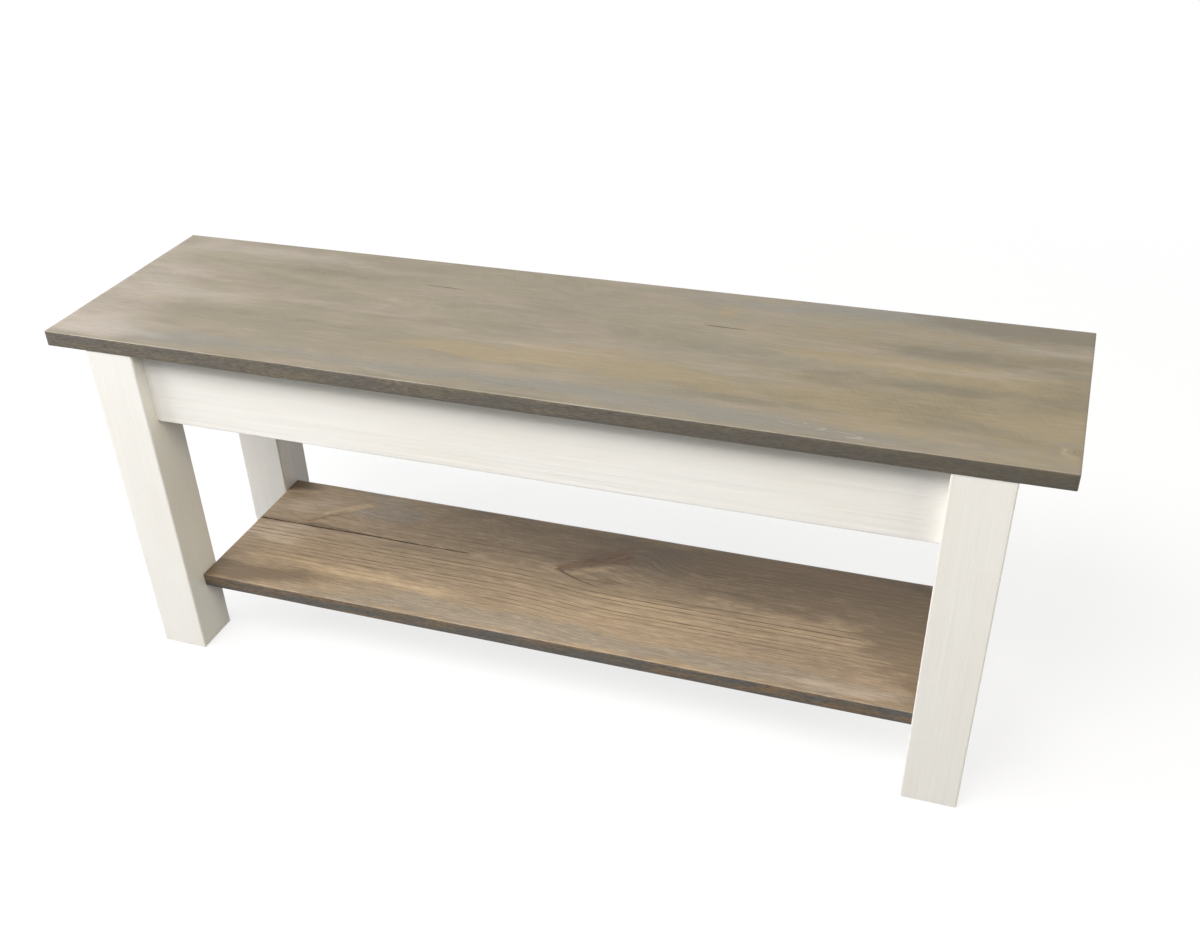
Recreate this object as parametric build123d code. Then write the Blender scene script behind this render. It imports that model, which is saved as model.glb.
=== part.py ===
from build123d import *
import os
from math import cos, radians, sin

# A bench of stained boards on a painted frame of posts and aprons, held by pocket screws.
# Millimetres. X runs along the bench, the front faces -Y and +Z is up.
# The origin is on the floor at the middle of the bench.

# Seat board
seat_length = 1118.0
seat_depth = 305.0
seat_thickness = 18.0
seat_edge_radius = 1.5
bench_height = 432.0

# Legs
leg_width = 61.0
leg_edge_radius = 2.0
foot_chamfer = 1.5
end_overhang = 50.0
front_overhang = 1.0

# Aprons
apron_height = 89.0
apron_thickness = 18.0
apron_setback = 17.0
apron_edge_radius = 1.2

# Lower shelf
shelf_height = 98.0
shelf_thickness = 18.0
shelf_setback = 29.5
shelf_edge_radius = 1.5

# Drying check in the shelf, from its left end along the heart of the board
check_length = 309.0
check_width = 1.8
check_depth = 5.0
check_from_back = 102.0

# Pocket holes, bored from the hidden face of a board and leaving through its edge
pocket_angle = 15.0
pocket_diameter = 9.5
pocket_shoulder = 17.0
pocket_exit_depth = 10.0
pocket_run_out = 4.0

# Pocket screws
screw_length = 31.75
screw_diameter = 4.0
screw_head_diameter = 8.8
screw_head_height = 2.2
screw_point_length = 5.0
drive_width = 3.0
drive_depth = 1.3
pilot_clearance = 0.05
pilot_end_gap = 0.3

# Where the screws stand
apron_screw_inset = 22.0
seat_screw_inset = 140.0

# Sizes that follow from the ones above
frame_length = seat_length - 2 * end_overhang
frame_depth = seat_depth - 2 * front_overhang
leg_height = bench_height - seat_thickness
clear_length = frame_length - 2 * leg_width
clear_depth = frame_depth - 2 * leg_width
apron_bottom = leg_height - apron_height
apron_middle = leg_height - apron_height / 2
shelf_depth = frame_depth - 2 * shelf_setback
shelf_bottom = shelf_height - shelf_thickness
leg_x = (frame_length - leg_width) / 2
leg_y = (frame_depth - leg_width) / 2
long_apron_y = frame_depth / 2 - apron_setback - apron_thickness / 2
short_apron_x = frame_length / 2 - apron_setback - apron_thickness / 2
tilt = radians(pocket_angle)


# Pocket joints

def pocket_plane(point, into, face):
    # A screw axis that starts at the joint, leans away from the bored face and points into the mate.
    axis = Vector(*into) * cos(tilt) - Vector(*face) * sin(tilt)
    across = Vector(*into).cross(Vector(*face))
    return Plane(origin=point, x_dir=across, z_dir=axis)


def pocket_cutter(plane):
    radius = pocket_diameter / 2
    end = (pocket_exit_depth + radius * cos(tilt)) / sin(tilt) + pocket_run_out
    bore = Cylinder(radius, end - pocket_shoulder, align=(Align.CENTER, Align.CENTER, Align.MAX))
    return plane.location * Pos(0, 0, -pocket_shoulder) * bore


def pilot_cutter(plane):
    radius = screw_diameter / 2 + pilot_clearance
    length = screw_length + pilot_end_gap
    bore = Cylinder(radius, length, align=(Align.CENTER, Align.CENTER, Align.MIN))
    return plane.location * Pos(0, 0, -pocket_shoulder) * bore


def pocket_screw(plane):
    up = (Align.CENTER, Align.CENTER, Align.MIN)
    shank_length = screw_length - screw_point_length
    head = Cylinder(screw_head_diameter / 2, screw_head_height, align=up)
    drive = Box(drive_width, drive_width, drive_depth, align=up)
    shank = Cylinder(screw_diameter / 2, shank_length, align=up)
    point = Cone(screw_diameter / 2, screw_diameter / 20, screw_point_length, align=up)
    body = head - drive + Pos(0, 0, screw_head_height) * shank
    body = body + Pos(0, 0, screw_head_height + shank_length) * point
    return plane.location * Pos(0, 0, -pocket_shoulder - screw_head_height) * body


# Joints of each board: the planes of its pocket screws

def long_apron_planes(side, ends=(-1, 1)):
    # side is -1 at the front and +1 at the back. The bored face looks to the middle of the bench.
    face = (0, -side, 0)
    bored_y = side * (long_apron_y - apron_thickness / 2)
    exit_y = bored_y + side * pocket_exit_depth
    planes = []
    for end in ends:
        for rise in (-1, 1):
            z = apron_middle + rise * (apron_height / 2 - apron_screw_inset)
            planes.append(pocket_plane((end * clear_length / 2, exit_y, z), (end, 0, 0), face))
    return planes


def short_apron_planes(side, ends=(-1, 1)):
    # side is -1 at the left and +1 at the right.
    face = (-side, 0, 0)
    bored_x = side * (short_apron_x - apron_thickness / 2)
    exit_x = bored_x + side * pocket_exit_depth
    planes = []
    for end in ends:
        for rise in (-1, 1):
            z = apron_middle + rise * (apron_height / 2 - apron_screw_inset)
            planes.append(pocket_plane((exit_x, end * clear_depth / 2, z), (0, end, 0), face))
    return planes


def long_seat_planes(side):
    exit_y = side * (long_apron_y - apron_thickness / 2 + pocket_exit_depth)
    reach = clear_length / 2 - seat_screw_inset
    planes = []
    for step in (-1, 0, 1):
        planes.append(pocket_plane((step * reach, exit_y, leg_height), (0, 0, 1), (0, -side, 0)))
    return planes


def short_seat_planes(side):
    exit_x = side * (short_apron_x - apron_thickness / 2 + pocket_exit_depth)
    return [pocket_plane((exit_x, 0, leg_height), (0, 0, 1), (-side, 0, 0))]


def shelf_planes(side, ends=(-1, 1)):
    # One screw into each leg, in the middle of the strip where shelf and leg meet.
    lap_middle = (shelf_depth / 2 + clear_depth / 2) / 2
    z = shelf_bottom + pocket_exit_depth
    planes = []
    for end in ends:
        point = (side * clear_length / 2, end * lap_middle, z)
        planes.append(pocket_plane(point, (side, 0, 0), (0, 0, -1)))
    return planes


def bored(body, planes, pockets):
    for plane in planes:
        if pockets:
            body = body - pocket_cutter(plane)
        body = body - pilot_cutter(plane)
    return body


# Pieces

def seat_board():
    bottom = (Align.CENTER, Align.CENTER, Align.MIN)
    body = Pos(0, 0, leg_height) * Box(seat_length, seat_depth, seat_thickness, align=bottom)
    body = fillet(body.edges(), seat_edge_radius)
    planes = long_seat_planes(-1) + long_seat_planes(1) + short_seat_planes(-1) + short_seat_planes(1)
    return bored(body, planes, False)


def shelf_board():
    bottom = (Align.CENTER, Align.CENTER, Align.MIN)
    body = Pos(0, 0, shelf_bottom) * Box(clear_length, shelf_depth, shelf_thickness, align=bottom)
    body = fillet(body.edges().filter_by(Axis.X), shelf_edge_radius)
    check_y = shelf_depth / 2 - check_from_back
    left = -clear_length / 2
    outline = Polyline(
        (left, check_y - check_width / 2),
        (left + check_length, check_y),
        (left, check_y + check_width / 2),
        close=True,
    )
    gap = extrude(make_face(outline), check_depth)
    body = body - Pos(0, 0, shelf_height - check_depth) * gap
    return bored(body, shelf_planes(-1) + shelf_planes(1), True)


def leg(side, end):
    # side is -1 at the left, end is -1 at the front.
    bottom = (Align.CENTER, Align.CENTER, Align.MIN)
    body = Box(leg_width, leg_width, leg_height, align=bottom)
    body = fillet(body.edges().filter_by(Axis.Z), leg_edge_radius)
    body = chamfer(body.faces().sort_by(Axis.Z)[0].edges(), foot_chamfer)
    body = Pos(side * leg_x, end * leg_y, 0) * body
    planes = long_apron_planes(end, [side]) + short_apron_planes(side, [end]) + shelf_planes(side, [end])
    return bored(body, planes, False)


def long_apron(side):
    bottom = (Align.CENTER, Align.CENTER, Align.MIN)
    body = Box(clear_length, apron_thickness, apron_height, align=bottom)
    low = body.faces().sort_by(Axis.Z)[0].edges().filter_by(Axis.X)
    body = fillet(low, apron_edge_radius)
    body = Pos(0, side * long_apron_y, apron_bottom) * body
    return bored(body, long_apron_planes(side) + long_seat_planes(side), True)


def short_apron(side):
    bottom = (Align.CENTER, Align.CENTER, Align.MIN)
    body = Box(apron_thickness, clear_depth, apron_height, align=bottom)
    low = body.faces().sort_by(Axis.Z)[0].edges().filter_by(Axis.Y)
    body = fillet(low, apron_edge_radius)
    body = Pos(side * short_apron_x, 0, apron_bottom) * body
    return bored(body, short_apron_planes(side) + short_seat_planes(side), True)


def screws(planes):
    return Compound(children=[pocket_screw(plane).solid() for plane in planes])


# Nodes

nodes = {
    "seat_top": seat_board(),
    "lower_shelf": shelf_board(),
    "leg_front_left": leg(-1, -1),
    "leg_front_right": leg(1, -1),
    "leg_rear_left": leg(-1, 1),
    "leg_rear_right": leg(1, 1),
    "apron_front": long_apron(-1),
    "apron_rear": long_apron(1),
    "apron_left": short_apron(-1),
    "apron_right": short_apron(1),
    "apron_front_screws": screws(long_apron_planes(-1)),
    "apron_rear_screws": screws(long_apron_planes(1)),
    "apron_left_screws": screws(short_apron_planes(-1)),
    "apron_right_screws": screws(short_apron_planes(1)),
    "seat_screws_front": screws(long_seat_planes(-1)),
    "seat_screws_rear": screws(long_seat_planes(1)),
    "seat_screws_left": screws(short_seat_planes(-1)),
    "seat_screws_right": screws(short_seat_planes(1)),
    "shelf_screws_left": screws(shelf_planes(-1)),
    "shelf_screws_right": screws(shelf_planes(1)),
}

os.makedirs("parts", exist_ok=True)
for name, body in nodes.items():
    export_step(body, f"parts/{name}.step")
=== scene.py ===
import math

import bmesh
import bpy
import numpy as np
from mathutils import Matrix, Vector


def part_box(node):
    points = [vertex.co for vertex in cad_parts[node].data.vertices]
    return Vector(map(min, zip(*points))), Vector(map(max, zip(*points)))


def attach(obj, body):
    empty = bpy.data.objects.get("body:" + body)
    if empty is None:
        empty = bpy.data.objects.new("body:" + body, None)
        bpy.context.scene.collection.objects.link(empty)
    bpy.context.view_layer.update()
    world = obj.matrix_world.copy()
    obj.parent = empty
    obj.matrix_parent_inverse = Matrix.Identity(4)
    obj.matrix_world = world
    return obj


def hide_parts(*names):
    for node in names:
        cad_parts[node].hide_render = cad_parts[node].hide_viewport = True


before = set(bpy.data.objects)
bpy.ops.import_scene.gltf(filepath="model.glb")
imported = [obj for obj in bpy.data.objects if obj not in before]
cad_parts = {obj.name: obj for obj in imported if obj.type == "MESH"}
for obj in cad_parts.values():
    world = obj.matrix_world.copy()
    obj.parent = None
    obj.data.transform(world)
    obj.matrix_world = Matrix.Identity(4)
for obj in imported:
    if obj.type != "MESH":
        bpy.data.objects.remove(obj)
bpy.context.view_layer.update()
scene = bpy.context.scene
scene.view_settings.view_transform = "Standard"
print("bench frame loaded")


# node helpers, so that a finish can be written as a formula

class Field:
    def __init__(self, tree, socket):
        self.tree = tree
        self.socket = socket

    def calc(self, operation, *others):
        node = self.tree.nodes.new("ShaderNodeMath")
        node.operation = operation
        for place, value in enumerate((self, *others)):
            plug(self.tree, value, node.inputs[place])
        return Field(self.tree, node.outputs[0])

    def __add__(self, other):
        return self.calc("ADD", other)

    def __sub__(self, other):
        return self.calc("SUBTRACT", other)

    def __mul__(self, other):
        return self.calc("MULTIPLY", other)

    def __truediv__(self, other):
        return self.calc("DIVIDE", other)

    def away(self):  # distance from zero
        return self.calc("ABSOLUTE")

    def ramp(self, start, end, low=0.0, high=1.0):  # soft step from low to high
        node = self.tree.nodes.new("ShaderNodeMapRange")
        node.interpolation_type = "SMOOTHSTEP"
        plug(self.tree, self, node.inputs["Value"])
        limits = {"From Min": start, "From Max": end, "To Min": low, "To Max": high}
        for name, value in limits.items():
            node.inputs[name].default_value = value
        return Field(self.tree, node.outputs["Result"])


def plug(tree, value, socket):
    if isinstance(value, Field):
        tree.links.new(value.socket, socket)
    elif isinstance(value, bpy.types.NodeSocket):
        tree.links.new(value, socket)
    elif isinstance(value, tuple) and len(value) == 3 and socket.type == "RGBA":
        socket.default_value = (*value, 1.0)
    else:
        socket.default_value = value


def startFinish(name):
    finish = bpy.data.materials.new(name)
    finish.use_nodes = True
    tree = finish.node_tree
    shader = tree.nodes["Principled BSDF"]
    place = tree.nodes.new("ShaderNodeTexCoord")
    scale = tree.nodes.new("ShaderNodeVectorMath")  # object coordinates in millimetres
    scale.operation = "SCALE"
    scale.inputs["Scale"].default_value = 1000.0
    tree.links.new(place.outputs["Object"], scale.inputs[0])
    split = tree.nodes.new("ShaderNodeSeparateXYZ")
    tree.links.new(scale.outputs[0], split.inputs[0])
    return finish, tree, shader, [Field(tree, out) for out in split.outputs]


noiseStep = (7.3, 3.1, 5.7)  # how far a shift of one moves a noise


def cloud(tree, x, y, z, detail=2.0, rough=0.5, shift=0.0):  # noise over scaled coordinates
    join = tree.nodes.new("ShaderNodeCombineXYZ")
    for place, value in enumerate((x, y, z)):
        plug(tree, value, join.inputs[place])
    move = tree.nodes.new("ShaderNodeVectorMath")
    move.operation = "ADD"
    move.inputs[1].default_value = tuple(shift * step for step in noiseStep)
    tree.links.new(join.outputs[0], move.inputs[0])
    node = tree.nodes.new("ShaderNodeTexNoise")
    node.inputs["Scale"].default_value = 1.0
    node.inputs["Detail"].default_value = detail
    node.inputs["Roughness"].default_value = rough
    tree.links.new(move.outputs[0], node.inputs["Vector"])
    return Field(tree, node.outputs[0])


def noise(tree, place, layer, shift=0.0):  # layer: reach in three directions, detail, roughness, shift
    *reach, detail, rough, step = layer
    scaled = [part / length for part, length in zip(place, reach)]
    return cloud(tree, *scaled, detail, rough, shift + step)


def blend(tree, amount, under, over):  # from one colour to another
    node = tree.nodes.new("ShaderNodeMix")
    node.data_type = "RGBA"
    node.clamp_factor = True
    plug(tree, amount, node.inputs[0])
    plug(tree, under, node.inputs[6])
    plug(tree, over, node.inputs[7])
    return node.outputs[2]


def written(tree, name):  # a number stored on the mesh
    node = tree.nodes.new("ShaderNodeAttribute")
    node.attribute_name = name
    return Field(tree, node.outputs["Fac"])


def relief(tree, shader, height, strength, distance):
    node = tree.nodes.new("ShaderNodeBump")
    node.inputs["Strength"].default_value = strength
    node.inputs["Distance"].default_value = distance
    plug(tree, height, node.inputs["Height"])
    tree.links.new(node.outputs["Normal"], shader.inputs["Normal"])


def facing(tree):  # how squarely the surface faces along X, Y and Z
    node = tree.nodes.new("ShaderNodeNewGeometry")
    split = tree.nodes.new("ShaderNodeSeparateXYZ")
    tree.links.new(node.outputs["Normal"], split.inputs[0])
    return [Field(tree, out).away() for out in split.outputs]


# stained boards: a dense mesh with eased, hand sanded arrises and open checks

waveCount = 7


def drift(points, reach, seed):  # smooth wandering about zero, over roughly this many millimetres
    chance = np.random.default_rng(seed)
    total = np.zeros(len(points))
    for _ in range(waveCount):
        wave = chance.normal(size=points.shape[1]) * 2.0 / np.asarray(reach, float)
        total += np.sin(points @ wave + chance.uniform(0, 2 * math.pi))
    return total / (0.5 * waveCount)


def softStep(value, start, end):
    part = np.clip((value - start) / (end - start), 0, 1)
    return part * part * (3 - 2 * part)


def ruled(length, radius, step):  # grid lines across a board, close together at both arrises
    near = [radius * (1 - math.tan(math.radians(angle))) for angle in (45, 30, 15, 0)]
    count = max(1, round((length - 2 * radius) / step))
    middle = np.linspace(radius, length - radius, count + 1)[1:-1]
    return np.concatenate([near, middle, [length - value for value in reversed(near)]])


def checkLine(spec, along):  # path, half width and depth of an open check along the board
    part = np.clip((along - spec["start"]) / spec["length"], 0, 1)
    wander = drift(along[:, None], [spec["waver"]], spec["seed"])
    path = spec["across"] + spec["lean"] * spec["length"] * part + spec["sway"] * wander
    taper = np.clip(1 - part, 0, 1) ** 0.25
    if spec["closedBoth"]:
        taper = np.sqrt(np.clip(4 * part * (1 - part), 0, 1))
    ragged = 1 + 0.3 * drift(along[:, None], [9.0], spec["seed"] + 1)
    inside = (along >= spec["start"] - 0.01) & (along <= spec["start"] + spec["length"])
    half = np.where(inside, 0.5 * spec["width"] * taper * ragged, 0.0)
    depth = np.where(inside, spec["depth"] * softStep(half, 0.0, 0.25 * spec["width"]), 0.0)
    return path, half, depth


# grid lines at an open check, in millimetres from its middle
checkGrid = {
    "clear": 4.5, "least": 0.3,
    "shares": (-1.0, -0.55, 0.0, 0.55, 1.0), "beside": (-3.6, -1.9, 1.9, 3.6),
}


def boardMesh(name, low, high, spec):
    size = np.array(high - low) * 1000
    radius = spec["edgeRadius"]
    across = list(ruled(size[1], radius, spec["gridStep"]))
    checkOf = {}
    for number, check in enumerate(spec["checks"]):  # lines that follow each check
        middle = size[1] - check["across"]
        across = [y for y in across if abs(y - middle) > checkGrid["clear"]]
        for share in checkGrid["shares"]:
            line = middle + share * checkGrid["least"]
            across.append(line)
            checkOf[line] = (number, share)
        across += [middle + gap for gap in checkGrid["beside"]]
    across = np.array(sorted(across))
    alongLines = ruled(size[0], radius, spec["gridStep"])
    lines = [alongLines, across, ruled(size[2], radius, spec["depthStep"])]
    count = [len(line) for line in lines]

    outside = np.zeros(count, bool)
    outside[[0, -1]] = True
    outside[:, [0, -1]] = True
    outside[:, :, [0, -1]] = True
    number = np.full(count, -1)
    number[outside] = np.arange(outside.sum())
    spot = np.argwhere(outside)
    points = np.stack([lines[axis][spot[:, axis]] for axis in range(3)], 1)

    core = np.clip(points, radius, size - radius)
    push = points - core
    reach = np.linalg.norm(push, axis=1, keepdims=True)
    ray = push / reach
    rayX, rayY, rayZ = np.abs(ray).T
    arris = 2 * np.maximum.reduce([rayX * rayY, rayY * rayZ, rayX * rayZ])
    worn = spec["edgeWear"] * arris * (0.5 + 0.5 * drift(points, 60.0, spec["seed"]))
    upper = softStep(points[:, 2] / size[2], 0.3, 0.7)
    arris = arris * (0.15 + 0.85 * upper)  # only the upper edges get the pale rub, which is wear plus a painted highlight
    points = core + ray * (radius - worn[:, None])

    groove = np.zeros(len(points))
    openFaces = (spot[:, 2] == count[2] - 1) | (spot[:, 0] == 0)  # the top and the left end
    for lineNumber, line in enumerate(across):
        if line not in checkOf:
            continue
        checkNumber, share = checkOf[line]
        check = spec["checks"][checkNumber]
        rows = np.flatnonzero((spot[:, 1] == lineNumber) & openFaces)
        path, half, depth = checkLine(check, points[rows, 0])
        drop = depth * (1 - abs(share)) ** 0.6
        lift = points[rows, 2] / size[2]
        points[rows, 1] = size[1] - path + share * np.maximum(half, checkGrid["least"])
        points[rows, 2] -= drop * lift
        groove[rows] = np.where(lift > 0.5, drop, 0) / max(check["depth"], 0.01)

    quads = []
    for axis in range(3):
        for end in (0, -1):
            sheet = np.take(number, end, axis=axis)
            corners = [sheet[:-1, :-1], sheet[1:, :-1], sheet[1:, 1:], sheet[:-1, 1:]]
            flat = np.stack([corner.ravel() for corner in corners], 1)
            if (end == 0) == (axis != 1):
                flat = flat[:, ::-1]
            quads.append(flat)
    mesh = bpy.data.meshes.new(name)
    mesh.from_pydata((points / 1000 + np.array(low)).tolist(), [], np.concatenate(quads).tolist())
    mesh.update()
    writeNumbers(mesh, "groove", groove)
    writeNumbers(mesh, "arris", arris)
    return mesh


def writeNumbers(mesh, name, values):
    numbers = mesh.attributes.new(name, "FLOAT", "POINT").data
    numbers.foreach_set("value", np.asarray(values, np.float32))


def borePockets(mesh, high, spec):  # slanted pocket holes for the screws, from below into both ends
    lean = math.radians(spec["angle"])
    past = (spec["exitDepth"] + spec["radius"] * math.cos(lean)) / math.sin(lean) + spec["runOut"]
    length = (past - spec["shoulder"]) / 1000
    radius = spec["radius"] / 1000
    cutter = bmesh.new()
    for side in (-1, 1):
        for row in (-1, 1):
            axis = Vector((side * math.cos(lean), 0, math.sin(lean)))
            mouth = Vector((side * high[0], row * spec["fromMiddle"] / 1000, spec["height"] / 1000))
            middle = mouth - axis * (spec["shoulder"] / 1000 + length / 2)
            turn = axis.to_track_quat("Z", "Y").to_matrix().to_4x4()
            bmesh.ops.create_cone(cutter, cap_ends=True, segments=48, radius1=radius, radius2=radius,
                                  depth=length, matrix=Matrix.Translation(middle) @ turn)
    bit = bpy.data.meshes.new("pocket_bit")
    cutter.to_mesh(bit)
    cutter.free()
    board = bpy.data.objects.new("blank", mesh)
    drill = bpy.data.objects.new("pocket_bit", bit)
    for item in (board, drill):
        scene.collection.objects.link(item)
    cut = board.modifiers.new("pockets", "BOOLEAN")
    cut.operation = "DIFFERENCE"
    cut.solver = "EXACT"
    cut.object = drill
    worked = board.evaluated_get(bpy.context.evaluated_depsgraph_get())
    bored = bpy.data.meshes.new_from_object(worked)
    for item in (board, drill):
        bpy.data.objects.remove(item)
    bpy.data.meshes.remove(bit)
    name = mesh.name
    bpy.data.meshes.remove(mesh)
    bored.name = name
    return bored


# how the outline of a patch wanders, whether stain, painted shade or painted sheen: coarse and fine reach
# along and across, in millimetres
stainEdge = {
    "along": ([110.0, 26.0], [34.0, 9.0]), "alongFine": 0.6, "alongPull": 0.22, "alongMost": 34.0,
    "across": ([80.0, 34.0], [26.0, 10.0]), "acrossFine": 0.5, "acrossPull": 0.2,
    "fallOff": 1.2,
}


def patches(places, along, across, seed):  # soft lengthwise patches of stain, painted shade or painted sheen, each with its place and size
    flat = np.stack([along, across], 1)
    coarse, fine = stainEdge["along"]
    pulledAlong = drift(flat, coarse, seed) + stainEdge["alongFine"] * drift(flat, fine, seed + 1)
    coarse, fine = stainEdge["across"]
    pulledAcross = drift(flat, coarse, seed + 2) + stainEdge["acrossFine"] * drift(flat, fine, seed + 3)
    total = np.zeros(len(along))
    for x, y, length, width, strength in places:
        pull = min(stainEdge["alongPull"] * length, stainEdge["alongMost"])
        sidePull = stainEdge["acrossPull"] * width
        spread = ((along + pull * pulledAlong - x) / (0.5 * length)) ** 2
        spread = spread + ((across + sidePull * pulledAcross - y) / (0.5 * width)) ** 2
        total += strength * np.exp(-spread ** stainEdge["fallOff"])
    return total


def boardFields(mesh, low, high, spec):
    count = len(mesh.vertices)
    flat = np.empty(count * 3)
    mesh.vertices.foreach_get("co", flat)
    points = (flat.reshape(-1, 3) - np.array(low)) * 1000
    size = np.array(high - low) * 1000
    along, across, depth = points[:, 0], size[1] - points[:, 1], size[2] - points[:, 2]
    line = along[:, None]

    heart = spec["heart"]
    wander = drift(line, [heart["reach"]], spec["seed"] + 5)
    heartAcross = heart["across"] + heart["lean"] * along + heart["wander"] * wander
    for kink in heart["kinks"]:
        heartAcross = heartAcross + kink["step"] / (1 + np.exp(-(along - kink["at"]) / kink["over"]))
    sink = drift(line, [heart["reach"]], spec["seed"] + 6)
    heartDepth = heart["depth"] + heart["dive"] * along + heart["sink"] * sink
    side = across - heartAcross
    radius = np.sqrt(side ** 2 + (depth - heartDepth) ** 2 + 4.0)

    patchMaps = {stain: patches(spec[stain], along, across, spec["seed"] + 10 * step)
              for step, stain in enumerate(("tan", "slate", "umberStainAndShade", "paleStainAndSheen", "ringShow"))}
    tan, paleStainAndSheen = patchMaps["tan"], patchMaps["paleStainAndSheen"]
    knot, span, run = np.zeros(count), np.zeros(count), np.zeros(count)
    for item in spec["knots"]:  # a branch that runs outward from the heart, near the face
        angle = math.radians(item["angle"])
        ahead = (along - item["x"]) * math.cos(angle) - (across - item["y"]) * math.sin(angle)
        aside = (along - item["x"]) * math.sin(angle) + (across - item["y"]) * math.cos(angle)
        half = item["root"] + item["widen"] * np.clip(ahead, 0, None)
        reach = item["length"]
        within = softStep(ahead, -3, 4) * (1 - softStep(ahead, 0.75 * reach, reach))
        within = within * (1 - softStep(depth, 4, 12))
        pull = np.clip(ahead, 0, reach) * item["pull"] * (1 - softStep(ahead, reach, 1.6 * reach))
        radius = radius - pull * np.exp(-(aside / (half + item["flow"])) ** 2)
        flare = item["flare"]
        lit = np.exp(-((aside - flare["aside"] - 0.05 * ahead) / flare["width"]) ** 2)
        lit = lit * softStep(ahead, flare["start"], flare["start"] + 15)
        lit = lit * (1 - softStep(ahead, flare["end"] - 55, flare["end"]))
        tan = tan + flare["strength"] * lit
        patchMaps["slate"] = patchMaps["slate"] - 0.5 * flare["strength"] * lit
        mask = 1 - softStep(np.abs(aside), 0.1 * half, 2.0 * half + 3.0)
        mask = mask * within * item["strength"]
        knot = np.maximum(knot, mask)
        near = np.abs(aside) < 1.6 * half + 6
        span = np.where(near, np.clip(aside / half, -2, 2), span)
        run = np.where(near, ahead, run)
    for eye in spec["eyes"]:  # a small round knot, with grain that flows round it
        gap = np.hypot(along - eye["x"], across - eye["y"])
        radius = radius + eye["swell"] * np.exp(-(gap / (2.2 * eye["radius"])) ** 2)
        mask = 1 - softStep(gap, 0.7 * eye["radius"], 1.1 * eye["radius"])
        knot = np.maximum(knot, mask)
        span = np.where(gap < 2 * eye["radius"], gap / eye["radius"], span)
        turn = np.arctan2(across - eye["y"], along - eye["x"])
        crescent = eye["halo"] * np.exp(-((gap / eye["radius"] - 1.6) / 0.4) ** 2)
        crescent = crescent * softStep(np.cos(turn - 2.5), -0.1, 0.8)
        tan, paleStainAndSheen = tan + crescent, paleStainAndSheen + 0.4 * crescent
    patchMaps["tan"], patchMaps["paleStainAndSheen"] = tan, paleStainAndSheen
    rings = radius / heart["ringWidth"] + 0.25 * drift(radius[:, None], [40.0], spec["seed"] + 7)
    rings = rings + 0.3 * drift(radius[:, None], [13.0], spec["seed"] + 9)

    scarGap, scarFade = np.full(count, 50.0), np.zeros(count)
    for scar in spec["scars"]:  # a thin dark bark line that sweeps away from a knot
        ahead = along - scar["x"]
        curve = scar["y"] + scar["rise"] * ahead + scar["bend"] * ahead ** 2
        gap = (across - curve) / np.sqrt(1 + (scar["rise"] + 2 * scar["bend"] * ahead) ** 2)
        fade = softStep(ahead, -1, 3) * (1 - softStep(ahead, 0.6 * scar["length"], scar["length"]))
        nearer = (fade > 0) & (np.abs(gap) < np.abs(scarGap))
        scarGap = np.where(nearer, gap, scarGap)
        scarFade = np.where(nearer, fade * (1 - softStep(depth, 1, 3)), scarFade)

    shown = {"rings": rings, "knot": knot, "knotSpan": span, "knotRun": run,
             "scarGap": scarGap, "scarFade": scarFade, **patchMaps}
    for name, values in shown.items():
        writeNumbers(mesh, name, values)


# noise in both boards: reach in three directions in millimetres, detail, roughness, shift
grainLayers = {
    "sway": (75.0, 26.0, 26.0, 2.0, 0.5, 15),
    "hair": (13.0, 0.45, 0.45, 2.0, 0.5, 3),
    "cast": (230.0, 46.0, 46.0, 3.0, 0.55, 7),
    "waver": (120.0, 11.0, 11.0, 2.0, 0.5, 9),
    "patch": (80.0, 30.0, 9.0, 4.0, 0.62, 11),
    "fleck": (7.0, 0.8, 0.8, 3.0, 0.6, 21),
    "torn": (9.0, 5.0, 5.0, 3.0, 0.6, 23),
    "cloth": (2.6, 34.0, 30.0, 2.0, 0.5, 17),
    "broken": (34.0, 3.0, 90.0, 3.0, 0.6, 19),
}
edgeRun = (-150.0, 540.0)  # where painted shade darkens the front edge, and the painted highlight on the arris fades, towards the right end


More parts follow.
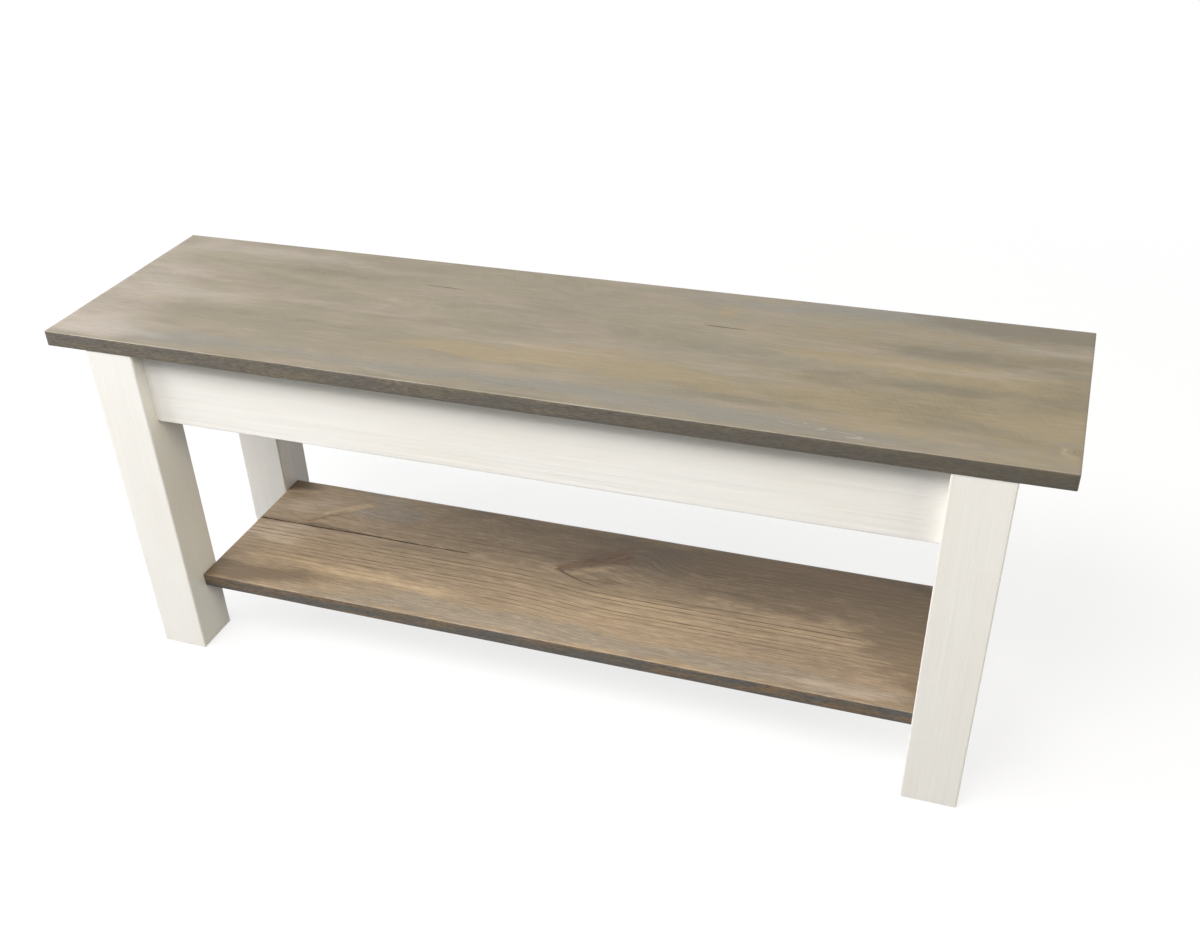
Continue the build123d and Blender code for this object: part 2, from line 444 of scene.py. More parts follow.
def stainedFinish(name, look, shape, low, high):
    finish, tree, shader, (x, y, z) = startFinish(name)
    faceX, faceY, _ = facing(tree)
    shift = look["shift"]

    flow = written(tree, "rings") * shape["heart"]["ringWidth"]  # millimetres across the year rings
    grain = {**grainLayers, **look["grain"]}
    swayed = y + (noise(tree, (x, y, z), grain["sway"], shift) - 0.5) * look["sway"]
    streak = noise(tree, (x, flow, y), grain["streak"], shift)
    hair = noise(tree, (x, y, z), grain["hair"], shift)
    mottle = noise(tree, (x, swayed, z), grain["mottle"], shift)
    cast = noise(tree, (x, swayed, z), grain["cast"], shift)
    waver = noise(tree, (x, y, z), grain["waver"], shift)
    band = noise(tree, (x, swayed, z), grain["band"], shift)
    tint = noise(tree, (x, swayed, z), grain["tint"], shift)
    slant, square = x * 0.9 + y * 0.45, x * 0.45 - y * 0.9  # a cloth wiped askew to the grain
    wipe = noise(tree, (slant, square, z), grain["cloth"], shift)

    # late wood: each ring darkens slowly and ends sharply
    rings = written(tree, "rings") + (waver - 0.5) * look["ringWaver"]
    phase = rings.calc("FRACT")
    tone = tree.nodes.new("ShaderNodeTexWhiteNoise")
    tone.noise_dimensions = "1D"
    plug(tree, rings.calc("FLOOR"), tone.inputs["W"])
    late = phase.ramp(look["ringStart"], 0.9) * phase.ramp(0.92, 1.0, 1.0, 0.0)
    late = late * (Field(tree, tone.outputs["Value"]) * 0.5 + 0.5)
    broken = noise(tree, (x, flow, y), grain["broken"], shift)
    shown = written(tree, "ringShow") + look["ringBase"] + (mottle - 0.5) * 0.4
    late = late * broken.ramp(0.32, 0.58, 0.5, 1.0) * look["ringPush"] * shown.calc("MINIMUM", 1.0)

    fibre = streak * 0.65 + hair * 0.35
    ragged = mottle - 0.5 + (band - 0.5) * 0.8 + (streak - 0.5) * 0.3
    ragged = ragged * look["ragged"] + (wipe - 0.5) * look["wipe"]
    tan = (written(tree, "tan") + ragged + (cast - 0.5) * 0.5).ramp(0.15, 1.0)
    slate = (written(tree, "slate") + ragged * 0.8 - (cast - 0.5) * 0.6).ramp(0.15, 1.0)
    umberStainAndShade = (written(tree, "umberStainAndShade") + ragged * 0.8).ramp(0.15, 1.0)
    paleStainAndSheen = (written(tree, "paleStainAndSheen") + ragged * 0.4).ramp(0.05, 1.2)

    colour = blend(tree, (cast * 0.55 + band * 0.45).ramp(0.3, 0.7), look["deep"], look["mid"])
    colour = blend(tree, tint.ramp(0.48, 0.68) * look["tintDepth"], colour, look["rose"])
    colour = blend(tree, tint.ramp(0.5, 0.32) * look["tintDepth"], colour, look["moss"])
    colour = blend(tree, tan * look["tanDepth"], colour, look["tan"])
    colour = blend(tree, slate * look["slateDepth"], colour, look["slate"])
    # paler stain, partly a painted sheen on the seat's left end
    colour = blend(tree, paleStainAndSheen * look["paleStainAndSheenDepth"], colour, look["paleStainAndSheen"])
    # dark stain, partly painted shade near the shelf's legs and along its back
    colour = blend(tree, umberStainAndShade * look["umberStainAndShadeDepth"], colour, look["umberStainAndShade"])
    colour = blend(tree, late * look["lateDepth"], colour, look["late"])
    colour = blend(tree, wipe.ramp(0.5, 0.75) * look["wipeDepth"], colour, look["fibreDark"])
    colour = blend(tree, fibre.ramp(0.42, 0.7) * look["fibreDepth"], colour, look["fibreDark"])
    bright = fibre.ramp(0.52, 0.3) * (umberStainAndShade * -0.65 + 1.0)  # less of it under dark stain and painted shade
    colour = blend(tree, bright * look["fibreDepth"], colour, look["fibrePale"])

    # edge and end grain drink more stain; the front edge also gets painted shade towards the right end
    edge = faceY.ramp(0.55, 0.95)
    patch = noise(tree, (x, y, z), grain["patch"], shift)
    fleck = noise(tree, (x, y, z), grain["fleck"], shift)
    edgeColour = blend(tree, patch.ramp(0.42, 0.64) * 0.9, look["edgeCool"], look["edgeWarm"])
    edgeColour = blend(tree, fleck.ramp(0.38, 0.72), edgeColour, look["edgeDark"])
    edgeColour = blend(tree, fleck.ramp(0.42, 0.22) * 0.5, edgeColour, look["edgePale"])
    # painted shade: the front edge darkens towards the right end, where the light falls off
    edgeColour = blend(tree, x.ramp(*edgeRun) * look["edgeShadeRight"], edgeColour, look["edgeDark"])
    colour = blend(tree, edge * look["edgeDepth"], colour, edgeColour)
    end = faceX.ramp(0.55, 0.95)
    endColour = blend(tree, late * 0.7 + hair.ramp(0.45, 0.7) * 0.3, look["edgeWarm"], look["edgeDark"])
    colour = blend(tree, end * 0.85, colour, endColour)

    # knots, bark lines, and the inside of a check, darkened by gathered stain and painted shade
    knotAlong, knotAcross = written(tree, "knotRun") / 24.0, written(tree, "knotSpan") * 2.4
    whorl = cloud(tree, knotAlong, knotAcross, 0.0, 3.0, 0.6, 2.0)
    torn = noise(tree, (x, y, z), grain["torn"], shift) - 0.5
    knot = (written(tree, "knot") + torn + (whorl - 0.5) * 0.8).ramp(0.25, 1.1)
    knotColour = blend(tree, whorl.ramp(0.35, 0.65), look["knotDark"], look["knotWarm"])
    colour = blend(tree, knot * look["knotDepth"], colour, knotColour)
    bark = written(tree, "scarGap").away() + (streak - 0.5) * 0.8
    scar = bark.ramp(0.2, look["scarWidth"], 1.0, 0.0) * written(tree, "scarFade")
    colour = blend(tree, scar * look["scarDepth"], colour, look["barkLine"])
    groove = written(tree, "groove")
    opened = groove.ramp(0.02, 0.3)
    # painted shade and gathered stain inside the open check
    colour = blend(tree, opened * 0.95, colour, look["checkStainAndShade"])

    # sanded arris: paler wear plus a painted highlight, fading towards the right end
    rubAndHighlight = (written(tree, "arris") + (mottle - 0.5) * 0.9).ramp(0.75, 1.1)
    rubAndHighlight = rubAndHighlight * x.ramp(*edgeRun, 1.0, look["rubAndHighlightRight"])
    # wear and a painted highlight on the upper arris
    colour = blend(tree, rubAndHighlight * look["rubAndHighlightDepth"], colour, look["rubAndHighlight"])

    # bare wood in the pocket holes, below the middle of the board and behind its faces
    ends = (x - 500 * (low[0] + high[0])).away() * -1.0 + 500 * (high[0] - low[0])
    rise = z - 1000 * low[2]
    under = rise.ramp(0.8, 1.3) * rise.ramp(12.0, 12.5, 1.0, 0.0)
    sides = (y - 500 * (low[1] + high[1])).away() * -1.0 + 500 * (high[1] - low[1])
    bare = under * ends.ramp(0.8, 1.3) * sides.ramp(2.0, 2.5)
    bareColour = blend(tree, streak.ramp(0.4, 0.65), look["bare"], look["bareDark"])
    colour = blend(tree, bare, colour, bareColour)
    plug(tree, colour, shader.inputs["Base Color"])

    rough = (mottle - 0.5) * 0.16 + (hair - 0.5) * 0.14 + late * 0.06 + knot * -0.06
    rough = rough + end * 0.14 + opened * 0.5  # end grain and the inside of a check are dull
    plug(tree, (rough + look["roughness"]).calc("MINIMUM", 0.95), shader.inputs["Roughness"])
    shader.inputs["Specular IOR Level"].default_value = look["gloss"]
    height = fibre * 0.5 + late * 0.45 + mottle * 0.3 - scar * 1.2 - groove
    relief(tree, shader, height, look["reliefStrength"], look["reliefDepth"])
    return finish


def wearBoard(mesh, finish, name, node):
    mesh.materials.append(finish)
    mesh.polygons.foreach_set("use_smooth", [True] * len(mesh.polygons))
    mesh.set_sharp_from_angle(angle=math.radians(40))
    board = bpy.data.objects.new(name, mesh)
    scene.collection.objects.link(board)
    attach(board, "root")
    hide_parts(node)


# seat

seat = {
    "shape": {
        "edgeRadius": 1.1,
        "edgeWear": 0.3,
        "gridStep": 4.0,
        "depthStep": 3.0,
        "seed": 11,
        "checks": [
            {"start": 372.0, "length": 43.0, "across": 71.0, "lean": 0.01, "sway": 0.2, "waver": 30.0,
             "width": 1.1, "depth": 1.1, "closedBoth": True, "seed": 3},
            {"start": 715.0, "length": 44.0, "across": 91.0, "lean": 0.012, "sway": 0.25, "waver": 30.0,
             "width": 1.6, "depth": 1.7, "closedBoth": True, "seed": 4},
        ],
        "heart": {"across": 120.0, "lean": 0.03, "wander": 9.0, "reach": 420.0, "depth": 62.0,
                  "dive": 0.012, "sink": 5.0, "ringWidth": 6.5, "kinks": []},
        "knots": [],
        "eyes": [{"x": 1112.0, "y": 266.0, "radius": 7.0, "swell": -5.0, "halo": 1.5}],
        "scars": [
            {"x": 838.0, "y": 283.0, "rise": 0.12, "bend": 0.0, "length": 62.0},
            {"x": 862.0, "y": 279.0, "rise": 0.2, "bend": 0.0003, "length": 84.0},
            {"x": 905.0, "y": 296.0, "rise": 0.03, "bend": 0.0, "length": 60.0},
        ],
        # patches of stain, with painted sheen among the pale ones: along from the left end, across from
        # the back edge, length, width, strength
        "tan": [
            (600, 212, 330, 52, 0.95), (755, 222, 200, 30, 0.4), (450, 222, 220, 36, 0.5),
            (970, 129, 260, 26, 1.3), (1000, 226, 300, 80, 0.9), (1060, 150, 160, 40, 0.6),
            (1080, 88, 110, 26, 0.7), (733, 48, 32, 40, 0.8), (860, 80, 160, 40, 0.35),
            (990, 160, 460, 320, 0.5), (60, 190, 160, 50, 0.3),
        ],
        "slate": [
            (540, 277, 580, 28, 1.0), (160, 276, 240, 52, 0.95), (830, 290, 320, 28, 0.9),
            (960, 14, 420, 42, 1.1), (770, 150, 150, 28, 0.4), (700, 18, 260, 30, 0.4),
            (480, 110, 340, 90, 0.35), (640, 160, 300, 30, 0.3),
        ],
        "umberStainAndShade": [
            (215, 66, 240, 30, 0.66), (985, 97, 150, 26, 0.7), (975, 173, 150, 28, 0.62),
            (270, 205, 240, 26, 0.55), (1060, 16, 260, 54, 1.1), (800, 250, 130, 18, 0.55),
            (870, 190, 80, 16, 0.5), (330, 120, 320, 60, 0.25), (990, 150, 420, 280, 0.3),
            (560, 100, 420, 120, 0.2), (60, 212, 90, 20, 0.4), (540, 283, 260, 14, 0.4),
            (780, 228, 160, 26, 0.4), (765, 150, 140, 28, 0.4), (1000, 226, 240, 80, 0.4),
            (1096, 140, 80, 130, 0.4), (500, 18, 380, 44, 0.4), (925, 79, 4.2, 2.6, 3.0),
            (1101, 89, 3.0, 2.2, 2.0),
        ],
        # paler stain, with a painted sheen at the left end and the front-left corner
        "paleStainAndSheen": [
            (40, 275, 220, 80, 0.62), (0, 140, 300, 320, 0.58), (200, 28, 260, 30, 0.5),
            (400, 45, 240, 24, 0.3), (330, 150, 260, 30, 0.3), (130, 160, 180, 40, 0.35),
            (540, 190, 160, 12, 0.4), (560, 212, 380, 50, 0.2), (980, 130, 220, 20, 0.5),
            (790, 190, 120, 20, 0.4), (1060, 62, 160, 14, 0.5),
        ],
        "ringShow": [(980, 150, 400, 200, 0.5)],
    },
    "look": {
        "shift": 1.7,
        "mid": (0.253, 0.213, 0.15), "deep": (0.191, 0.163, 0.118),
        "rose": (0.325, 0.258, 0.207), "moss": (0.197, 0.176, 0.116),
        "tan": (0.264, 0.206, 0.112), "slate": (0.191, 0.182, 0.161), "paleStainAndSheen": (0.46, 0.403, 0.36),
        "umberStainAndShade": (0.128, 0.109, 0.069), "late": (0.172, 0.143, 0.095),
        "fibreDark": (0.18, 0.151, 0.104), "fibrePale": (0.39, 0.335, 0.252),
        "edgeCool": (0.118, 0.106, 0.094), "edgeWarm": (0.172, 0.141, 0.099),
        "edgeDark": (0.058, 0.049, 0.035), "edgePale": (0.25, 0.227, 0.19),
        "knotDark": (0.11, 0.085, 0.05), "knotWarm": (0.24, 0.18, 0.09), "barkLine": (0.62, 0.58, 0.5),
        "checkStainAndShade": (0.045, 0.034, 0.023), "rubAndHighlight": (0.47, 0.43, 0.35),
        "bare": (0.62, 0.45, 0.27), "bareDark": (0.45, 0.3, 0.16),
        "tanDepth": 0.85, "slateDepth": 0.8, "paleStainAndSheenDepth": 0.75, "umberStainAndShadeDepth": 0.75, "lateDepth": 0.3,
        "tintDepth": 0.3, "wipeDepth": 0.16, "fibreDepth": 0.3, "edgeDepth": 0.95, "edgeShadeRight": 0.6,
        "knotDepth": 0.85, "scarWidth": 0.7, "scarDepth": 0.2, "rubAndHighlightDepth": 0.5, "rubAndHighlightRight": 0.4,
        "ragged": 0.85, "sway": 26.0, "wipe": 0.5,
        "ringPush": 1.2, "ringStart": 0.3, "ringWaver": 0.5, "ringBase": 0.3,
        "roughness": 0.44, "gloss": 0.42, "reliefStrength": 0.35, "reliefDepth": 0.0004,
        "grain": {
            "streak": (40.0, 1.3, 60.0, 4.0, 0.62, 0), "mottle": (34.0, 13.0, 13.0, 4.0, 0.6, 5),
            "band": (64.0, 12.0, 12.0, 4.0, 0.58, 13), "tint": (120.0, 34.0, 30.0, 3.0, 0.55, 25),
        },
    },
}
seatLow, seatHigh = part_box("seat_top")
seatMesh = boardMesh("seat_board", seatLow, seatHigh, seat["shape"])
boardFields(seatMesh, seatLow, seatHigh, seat["shape"])
seatFinish = stainedFinish("grey_stained_pine", seat["look"], seat["shape"], seatLow, seatHigh)
wearBoard(seatMesh, seatFinish, "seat_board", "seat_top")
print("seat board:", len(seatMesh.vertices), "points")


# lower shelf

shelf = {
    "shape": {
        "edgeRadius": 1.5,
        "edgeWear": 0.35,
        "gridStep": 3.5,
        "depthStep": 3.0,
        "seed": 23,
        "checks": [
            {"start": 0.0, "length": 309.0, "across": 102.0, "lean": -0.003, "sway": 0.5, "waver": 70.0,
             "width": 2.6, "depth": 5.0, "closedBoth": False, "seed": 8},
        ],
        "heart": {"across": 101.0, "lean": -0.003, "wander": 1.2, "reach": 260.0, "depth": 7.0,
                  "dive": 0.004, "sink": 1.0, "ringWidth": 8.6,
                  "kinks": [{"at": 455.0, "over": 26.0, "step": 13.0}]},
        # branches: angle towards the back, half width at the root, how far rings are drawn along
        "knots": [
            {"x": 66.0, "y": 95.0, "angle": 41.0, "length": 70.0, "root": 2.8, "widen": 0.05,
             "pull": 0.16, "flow": 18.0, "strength": 0.75,
             "flare": {"aside": -8.0, "width": 6.5, "start": 22.0, "end": 116.0, "strength": 1.7}},
            {"x": 429.0, "y": 100.0, "angle": 34.0, "length": 118.0, "root": 4.6, "widen": 0.13,
             "pull": 0.28, "flow": 22.0, "strength": 1.0,
             "flare": {"aside": 15.0, "width": 6.0, "start": 8.0, "end": 100.0, "strength": 1.3}},
        ],
        "eyes": [{"x": 430.5, "y": 100.0, "radius": 2.6, "swell": 0.0, "halo": 0.0}],
        "scars": [{"x": 430.0, "y": 99.0, "rise": 0.62, "bend": -0.0038, "length": 84.0}],
        "tan": [
            (190, 188, 300, 26, 0.9), (420, 200, 200, 24, 0.4), (650, 165, 420, 40, 0.5),
            (700, 140, 260, 18, 0.5), (560, 137, 130, 12, 0.8), (330, 128, 260, 20, 0.4),
        ],
        "slate": [
            (170, 36, 95, 54, 1.6), (330, 210, 300, 22, 0.75), (545, 50, 70, 60, 0.7),
            (700, 222, 420, 34, 0.75), (620, 20, 200, 40, 0.4), (450, 228, 520, 30, 0.9),
            (230, 236, 260, 20, 0.6),
        ],
        # dark stain, with painted shade near the legs at both ends, along the back under the seat and in
        # the back-left corner
        "umberStainAndShade": [
            (40, 222, 170, 50, 1.0), (-45, 228, 200, 46, 1.2), (700, 22, 420, 40, 0.75),
            (330, 75, 220, 50, 0.4), (478, 58, 110, 40, 0.6), (150, 101, 320, 5, 0.5),
            (720, 62, 420, 70, 0.6), (180, 150, 120, 40, 0.3), (780, 205, 260, 60, 0.25),
            (940, 140, 240, 250, 1.0), (905, 130, 140, 80, 0.6), (905, 60, 140, 80, 0.45),
            (908, 185, 110, 60, 0.35), (850, 155, 70, 70, 0.6), (120, 222, 260, 40, 0.4),
            (720, 90, 340, 40, 0.35), (640, 24, 620, 90, 0.55), (300, 24, 300, 50, 0.35),
            (-10, 2, 110, 36, 1.5), (450, 234, 460, 26, 0.3), (10, 236, 120, 26, 0.5),
        ],
        "paleStainAndSheen": [
            (40, 128, 120, 48, 1.2), (40, 62, 105, 54, 1.1), (835, 226, 130, 20, 0.9),
            (470, 233, 300, 16, 0.4),
        ],
        "ringShow": [
            (240, 142, 640, 84, 0.95), (700, 150, 500, 70, 0.85), (720, 48, 420, 56, 0.5),
            (330, 75, 320, 50, 0.35),
        ],
    },
    "pockets": {"angle": 15.0, "radius": 4.75, "shoulder": 17.0, "exitDepth": 10.0, "runOut": 4.0,
                "fromMiddle": 106.25, "height": 90.0},
    "look": {
        "shift": 8.3,
        "mid": (0.384, 0.281, 0.175), "deep": (0.258, 0.188, 0.12),
        "rose": (0.46, 0.33, 0.22), "moss": (0.24, 0.183, 0.113),
        "tan": (0.53, 0.39, 0.235), "slate": (0.262, 0.23, 0.186), "paleStainAndSheen": (0.56, 0.445, 0.34),
        "umberStainAndShade": (0.138, 0.094, 0.058), "late": (0.132, 0.086, 0.05),
        "fibreDark": (0.17, 0.125, 0.08), "fibrePale": (0.56, 0.435, 0.29),
        "edgeCool": (0.088, 0.087, 0.083), "edgeWarm": (0.205, 0.128, 0.065),
        "edgeDark": (0.044, 0.038, 0.031), "edgePale": (0.16, 0.148, 0.127),
        "knotDark": (0.1, 0.055, 0.031), "knotWarm": (0.21, 0.118, 0.06), "barkLine": (0.095, 0.04, 0.022),
        "checkStainAndShade": (0.06, 0.024, 0.01), "rubAndHighlight": (0.42, 0.35, 0.26),
        "bare": (0.62, 0.45, 0.27), "bareDark": (0.45, 0.3, 0.16),
        "tanDepth": 0.75, "slateDepth": 0.75, "paleStainAndSheenDepth": 0.7, "umberStainAndShadeDepth": 0.7, "lateDepth": 0.95,
        "tintDepth": 0.35, "wipeDepth": 0.08, "fibreDepth": 0.6, "edgeDepth": 0.95, "edgeShadeRight": 0.0,
        "knotDepth": 0.95, "scarWidth": 1.6, "scarDepth": 0.9, "rubAndHighlightDepth": 0.4, "rubAndHighlightRight": 0.7,
        "ragged": 0.85, "sway": 18.0, "wipe": 0.3,
        "ringPush": 1.5, "ringStart": 0.62, "ringWaver": 0.3, "ringBase": 0.15,
        "roughness": 0.46, "gloss": 0.4, "reliefStrength": 0.4, "reliefDepth": 0.0005,
        "grain": {
            "streak": (24.0, 1.3, 60.0, 4.0, 0.62, 0), "mottle": (40.0, 13.0, 13.0, 4.0, 0.6, 5),
            "band": (90.0, 8.0, 8.0, 4.0, 0.58, 13), "tint": (110.0, 20.0, 30.0, 3.0, 0.55, 25),
        },
    },
}
shelfLow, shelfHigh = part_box("lower_shelf")
shelfMesh = boardMesh("shelf_board", shelfLow, shelfHigh, shelf["shape"])
shelfMesh = borePockets(shelfMesh, shelfHigh, shelf["pockets"])
boardFields(shelfMesh, shelfLow, shelfHigh, shelf["shape"])
shelfFinish = stainedFinish("brown_stained_pine", shelf["look"], shelf["shape"], shelfLow, shelfHigh)
wearBoard(shelfMesh, shelfFinish, "shelf_board", "lower_shelf")
print("shelf board:", len(shelfMesh.vertices), "points")


# white paint on legs and aprons, brushed along each piece, with bare pine inside the pocket holes

paintLook = {
    "white": (0.895, 0.875, 0.835), "cream": (0.87, 0.838, 0.78), "cool": (0.875, 0.862, 0.845),
    "scuff": (0.56, 0.53, 0.48), "primer": (0.74, 0.69, 0.6),
    "pine": (0.62, 0.45, 0.27), "pineDark": (0.42, 0.27, 0.14),
    "roughness": 0.38, "gloss": 0.45, "reliefStrength": 0.8, "reliefDepth": 0.0006,
    "coolDepth": 0.5, "streakDepth": 0.085, "thinDepth": 0.28, "scuffDepth": 0.18,
    # brush marks: reach along and across in millimetres, detail, roughness, shift
    "bristle": (150.0, 0.9, 3.0, 0.6, 1.0), "stroke": (210.0, 6.5, 3.0, 0.55, 3.0),
    "wood": (260.0, 2.6, 2.0, 0.5, 5.0), "haze": (160.0, 60.0, 3.0, 0.5, 7.0),
}


def paintedFinish(name, node, lengthAxis, mirrored, look, shift):
    finish, tree, shader, place = startFinish(name)
    low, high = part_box(node)
    middle = [(low[axis] + high[axis]) * 500 for axis in range(3)]
    half = [(high[axis] - low[axis]) * 500 for axis in range(3)]
    inset = []
    for axis in range(3):  # depth of a point below each pair of faces
        spot = place[axis].away() if axis in mirrored else place[axis]
        centre = abs(middle[axis]) if axis in mirrored else middle[axis]
        inset.append((spot - centre).away() * -1.0 + half[axis])
    lowest = inset[0].calc("MINIMUM", inset[1])
    upper = inset[0].calc("MAXIMUM", inset[1])
    toEdge = lowest.calc("MAXIMUM", upper.calc("MINIMUM", inset[2]))  # distance to the nearest arris
    inside = lowest.calc("MINIMUM", inset[2]).ramp(0.9, 1.4)  # 1 inside a pocket hole

    def brushed(mark):
        along, across, *rest = look[mark]
        reach = [along if axis == lengthAxis else across for axis in range(3)]
        return noise(tree, place, (*reach, *rest), shift)

    bristle, stroke, wood, haze = [brushed(mark) for mark in ("bristle", "stroke", "wood", "haze")]

    colour = blend(tree, haze.ramp(0.35, 0.68), look["white"], look["cream"])
    colour = blend(tree, stroke.ramp(0.4, 0.7) * look["coolDepth"], colour, look["cool"])
    streak = (bristle * 0.5 + stroke * 0.5).ramp(0.5, 0.68)
    colour = blend(tree, streak * look["streakDepth"], colour, look["scuff"])
    thin = (toEdge * -0.3 + (bristle - 0.5) * 2.2 + (stroke - 0.5) * 1.6).ramp(-0.2, 1.2)
    colour = blend(tree, thin * look["thinDepth"], colour, look["primer"])
    scuffed = place[2] * -0.035 + (stroke - 0.5) * 2.6 + (haze - 0.5) * 1.5 + 0.5
    colour = blend(tree, scuffed.ramp(0.1, 1.3) * look["scuffDepth"], colour, look["scuff"])
    pine = blend(tree, wood.ramp(0.4, 0.65), look["pine"], look["pineDark"])
    colour = blend(tree, inside, colour, pine)
    plug(tree, colour, shader.inputs["Base Color"])

    rough = (stroke - 0.5) * 0.16 + (bristle - 0.5) * 0.12 + inside * 0.3
    plug(tree, rough + look["roughness"], shader.inputs["Roughness"])
    shader.inputs["Specular IOR Level"].default_value = look["gloss"]
    height = bristle * 0.45 + stroke * 0.8 + wood * 0.35
    relief(tree, shader, height, look["reliefStrength"], look["reliefDepth"])
    return finish


def dress(node, finish):
    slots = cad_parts[node].data.materials
    if len(slots):
        slots[0] = finish
    else:
        slots.append(finish)


legFinish = paintedFinish("white_paint_on_legs", "leg_front_left", 2, (0, 1), paintLook, 2.0)
longFinish = paintedFinish("white_paint_on_long_aprons", "apron_front", 0, (1,), paintLook, 12.0)
endFinish = paintedFinish("white_paint_on_end_aprons", "apron_left", 1, (0,), paintLook, 22.0)
for legName in ("leg_front_left", "leg_front_right", "leg_rear_left", "leg_rear_right"):
    dress(legName, legFinish)
for apronName in ("apron_front", "apron_rear"):
    dress(apronName, longFinish)
for apronName in ("apron_left", "apron_right"):
    dress(apronName, endFinish)
print("legs and aprons painted")


# zinc plated pocket screws

zincLook = {
    "bright": (0.72, 0.7, 0.64), "dull": (0.45, 0.43, 0.38), "yellow": (0.66, 0.58, 0.4),
    "brushed": (0.25, 0.25, 4.0, 3.0, 0.6, 0.0), "bloom": (3.0, 3.0, 3.0, 3.0, 0.55, 4.0),
    "dullDepth": 0.5, "roughness": 0.34, "roughRange": 0.2, "reliefStrength": 0.25, "reliefDepth": 0.0001,
}


def zincFinish(name, look):
    finish, tree, shader, place = startFinish(name)
    brushed = noise(tree, place, look["brushed"])
    bloom = noise(tree, place, look["bloom"])
    colour = blend(tree, bloom.ramp(0.35, 0.65), look["bright"], look["yellow"])
    colour = blend(tree, brushed.ramp(0.5, 0.75) * look["dullDepth"], colour, look["dull"])
    plug(tree, colour, shader.inputs["Base Color"])
    shader.inputs["Metallic"].default_value = 1.0
    plug(tree, (brushed - 0.5) * look["roughRange"] + look["roughness"], shader.inputs["Roughness"])
    relief(tree, shader, brushed, look["reliefStrength"], look["reliefDepth"])
    return finish


screwFinish = zincFinish("zinc_plated_screws", zincLook)
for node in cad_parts:
    if "screws" in node:
        dress(node, screwFinish)
print("screws plated")


# floor, light and camera

studio = {
    "floor": (0.16, 0.16, 0.157), "floorSeen": (0.92, 0.92, 0.915), "floorShown": 0.78,
    "floorSize": 24.0, "clearRadius": 0.7, "fadeRadius": 2.2,
    "skyFront": 0.21, "skyBack": 0.45, "sky": (1.0, 0.985, 0.955),
    "cameraAt": (0.4985, -1.2464, 1.0464), "cameraAim": (0.063, -0.1311, 0.1429), "roll": -2.498,
    "lens": 39.46, "shift": (0.0208, 0.1211),
    "lampAim": (0.0, 0.0, 0.25),
    "lamps": {
        "window_light": {"at": (-3.35, -1.35, 2.17), "size": (2.0, 1.8), "power": 128.0,
                         "colour": (0.985, 0.993, 1.0)},
        "ceiling_light": {"at": (-0.82, -2.18, 3.47), "size": (2.0, 1.75), "power": 131.0,
                          "colour": (1.0, 0.99, 0.975)},
        "room_light": {"at": (3.3, -1.0, 1.75), "size": (1.4, 1.2), "power": 48.0,
                       "colour": (1.0, 0.955, 0.78)},
        "rear_light": {"at": (-0.7, 3.6, 0.7), "size": (2.2, 0.9), "power": 46.0,
                       "colour": (1.0, 0.99, 0.97), "sheen": False},
    },
}


def seenRay(tree):  # 1 for rays that show the background, straight or by way of metal or glass
    path = tree.nodes.new("ShaderNodeLightPath")
    total = Field(tree, path.outputs["Is Camera Ray"]) + Field(tree, path.outputs["Is Glossy Ray"])
    return (total + Field(tree, path.outputs["Is Transmission Ray"])).calc("MINIMUM", 1.0)


def makeFloor(values):
    finish, tree, shader, (x, y, _) = startFinish("pale_floor")
    seen = seenRay(tree)
    speck = cloud(tree, x / 3.0, y / 3.0, 0.0, 3.0, 0.6)
    tint = blend(tree, seen, values["floor"], values["floorSeen"])
    tint = blend(tree, speck.ramp(0.3, 0.7) * 0.02, tint, values["floor"])
    plug(tree, tint, shader.inputs["Base Color"])
    shader.inputs["Roughness"].default_value = 0.85
    shader.inputs["Specular IOR Level"].default_value = 0.1
    glow = tree.nodes.new("ShaderNodeEmission")
    away = (x * x + y * y).calc("SQRT") / 1000.0
    shown = away.ramp(values["clearRadius"], values["fadeRadius"], values["floorShown"], 1.0) * seen
    mix = tree.nodes.new("ShaderNodeMixShader")
    plug(tree, shown, mix.inputs[0])
    tree.links.new(shader.outputs[0], mix.inputs[1])
    tree.links.new(glow.outputs[0], mix.inputs[2])
    tree.links.new(mix.outputs[0], tree.nodes["Material Output"].inputs["Surface"])
    reach = values["floorSize"] / 2
    mesh = bpy.data.meshes.new("studio_floor")
    corners = [(-reach, -reach, 0), (reach, -reach, 0), (reach, reach, 0), (-reach, reach, 0)]
    mesh.from_pydata(corners, [], [(0, 1, 2, 3)])
    mesh.materials.append(finish)
    floor = bpy.data.objects.new("studio_floor", mesh)
    scene.collection.objects.link(floor)


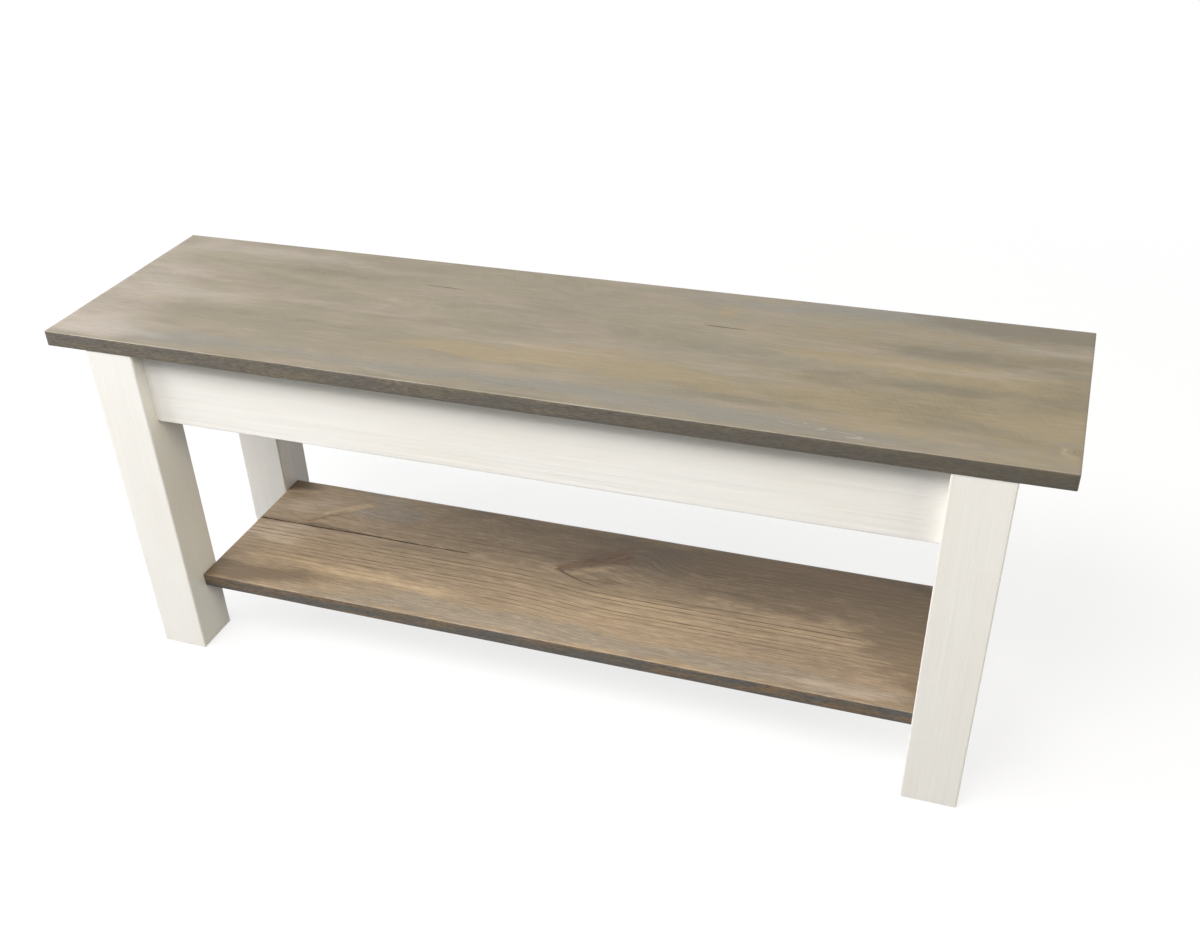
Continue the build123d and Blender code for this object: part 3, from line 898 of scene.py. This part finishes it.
def makeSky(values):
    world = bpy.data.worlds.new("studio_sky")
    scene.world = world
    world.use_nodes = True
    tree = world.node_tree
    sky = tree.nodes["Background"]
    sky.inputs["Color"].default_value = (*values["sky"], 1.0)
    place = tree.nodes.new("ShaderNodeTexCoord")
    split = tree.nodes.new("ShaderNodeSeparateXYZ")
    tree.links.new(place.outputs["Generated"], split.inputs[0])
    toBack = Field(tree, split.outputs["Y"])  # brighter behind, so that the back isn't left dark
    plug(tree, toBack.ramp(-0.1, 0.9, values["skyFront"], values["skyBack"]), sky.inputs["Strength"])
    white = tree.nodes.new("ShaderNodeBackground")
    white.inputs["Color"].default_value = (1, 1, 1, 1)
    white.inputs["Strength"].default_value = 1.0
    mix = tree.nodes.new("ShaderNodeMixShader")
    plug(tree, seenRay(tree), mix.inputs[0])
    tree.links.new(sky.outputs[0], mix.inputs[1])
    tree.links.new(white.outputs[0], mix.inputs[2])
    tree.links.new(mix.outputs[0], tree.nodes["World Output"].inputs["Surface"])


def aimed(at, aim, roll=0.0):
    turn = (Vector(aim) - Vector(at)).to_track_quat("-Z", "Y").to_matrix().to_4x4()
    return Matrix.Translation(at) @ turn @ Matrix.Rotation(math.radians(roll), 4, "Z")


def makeLamp(name, values, aim):
    light = bpy.data.lights.new(name, "AREA")
    light.shape = "RECTANGLE"
    light.size, light.size_y = values["size"]
    light.energy = values["power"]
    light.color = values["colour"]
    lamp = bpy.data.objects.new(name, light)
    lamp.matrix_world = aimed(values["at"], aim)
    lamp.visible_glossy = values.get("sheen", True)
    scene.collection.objects.link(lamp)


def makeCamera(values):
    lens = bpy.data.cameras.new("photo_camera")
    lens.lens = values["lens"]
    lens.sensor_width = 36.0
    lens.shift_x, lens.shift_y = values["shift"]
    camera = bpy.data.objects.new("photo_camera", lens)
    camera.matrix_world = aimed(values["cameraAt"], values["cameraAim"], values["roll"])
    scene.collection.objects.link(camera)
    scene.camera = camera


makeFloor(studio)
makeSky(studio)
for lampName, lampValues in studio["lamps"].items():
    makeLamp(lampName, lampValues, studio["lampAim"])
makeCamera(studio)
print("studio ready")
